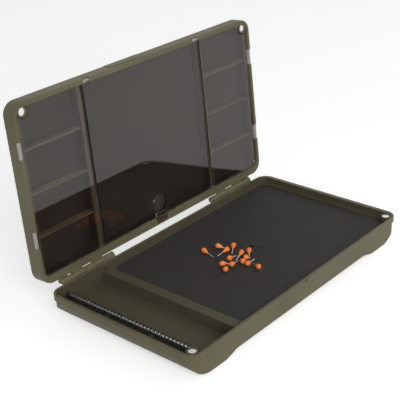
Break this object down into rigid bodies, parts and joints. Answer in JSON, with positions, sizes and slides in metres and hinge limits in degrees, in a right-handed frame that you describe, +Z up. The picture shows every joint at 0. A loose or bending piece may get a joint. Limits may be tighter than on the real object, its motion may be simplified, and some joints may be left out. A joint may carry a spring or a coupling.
{
  "type": "rig box",
  "caption": "Flat two-part rig box, standing open: a base with a foam board, loose pins and a coil spring, and a hinged lid with three clear doors over small compartments.",
  "frame": {"origin": "under the middle of the open box, on the plane of its two feet", "axes": "+X along the length, +Y towards the hinges, +Z up"},
  "size_m": [0.36, 0.231, 0.2269],
  "materials": {
    "shell_plastic": "fine matt olive grain",
    "foam": "matt black closed-cell foam",
    "clear_plastic": "clear, glossy",
    "steel": "bright steel",
    "magnet": "bright nickel",
    "black_spring": "black, half gloss",
    "black_plastic": "matt black",
    "divider_plastic": "matt olive",
    "pin_head": "orange, half gloss"
  },
  "bodies": {
    "base": {"base_tray": "shell_plastic", "rig_foam": "foam", "hinge_pin_left": "steel", "hinge_pin_right": "steel", "base_magnet_left": "magnet", "base_magnet_right": "magnet", "rig_spring": "black_spring", "spring_rod": "steel", "spring_rail": "black_plastic", "rail_clips": "black_plastic", "rig_pin_heads": "pin_head", "rig_pin_needles": "steel", "black_rig_pin": "black_plastic"},
    "lid": {"lid_shell": "shell_plastic", "lid_magnet_left": "magnet", "lid_magnet_right": "magnet", "lid_divider_left_lower": "divider_plastic", "lid_divider_left_middle": "divider_plastic", "lid_divider_left_upper": "divider_plastic", "door_pin_left_lower": "steel", "door_pin_left_upper": "steel", "lid_divider_right_lower": "divider_plastic", "lid_divider_right_middle": "divider_plastic", "lid_divider_right_upper": "divider_plastic", "door_pin_right_lower": "steel", "door_pin_right_upper": "steel", "door_pin_centre_left": "steel", "door_pin_centre_right": "steel"},
    "door_left": {"door_left": "clear_plastic"},
    "door_centre": {"door_centre": "clear_plastic"},
    "door_right": {"door_right": "clear_plastic"}
  },
  "joints": [
    {"name": "lid_hinge", "type": "hinge", "parent": "base", "child": "lid", "pos_m": [0, 0.08281, 0.03], "axis": [-1, 0, 0], "range_deg": [-94.5, 0]},
    {"name": "door_left_hinge", "type": "hinge", "parent": "lid", "child": "door_left", "pos_m": [-0.1785, 0.0844, 0.02987], "axis": [0, -0.0785, -0.9969], "range_deg": [0, 180]},
    {"name": "door_centre_hinge", "type": "hinge", "parent": "lid", "child": "door_centre", "pos_m": [0, 0.09967, 0.22387], "axis": [-1, 0, 0], "range_deg": [0, 180]},
    {"name": "door_right_hinge", "type": "hinge", "parent": "lid", "child": "door_right", "pos_m": [0.1785, 0.0844, 0.02987], "axis": [0, 0.0785, 0.9969], "range_deg": [0, 180]}
  ]
}
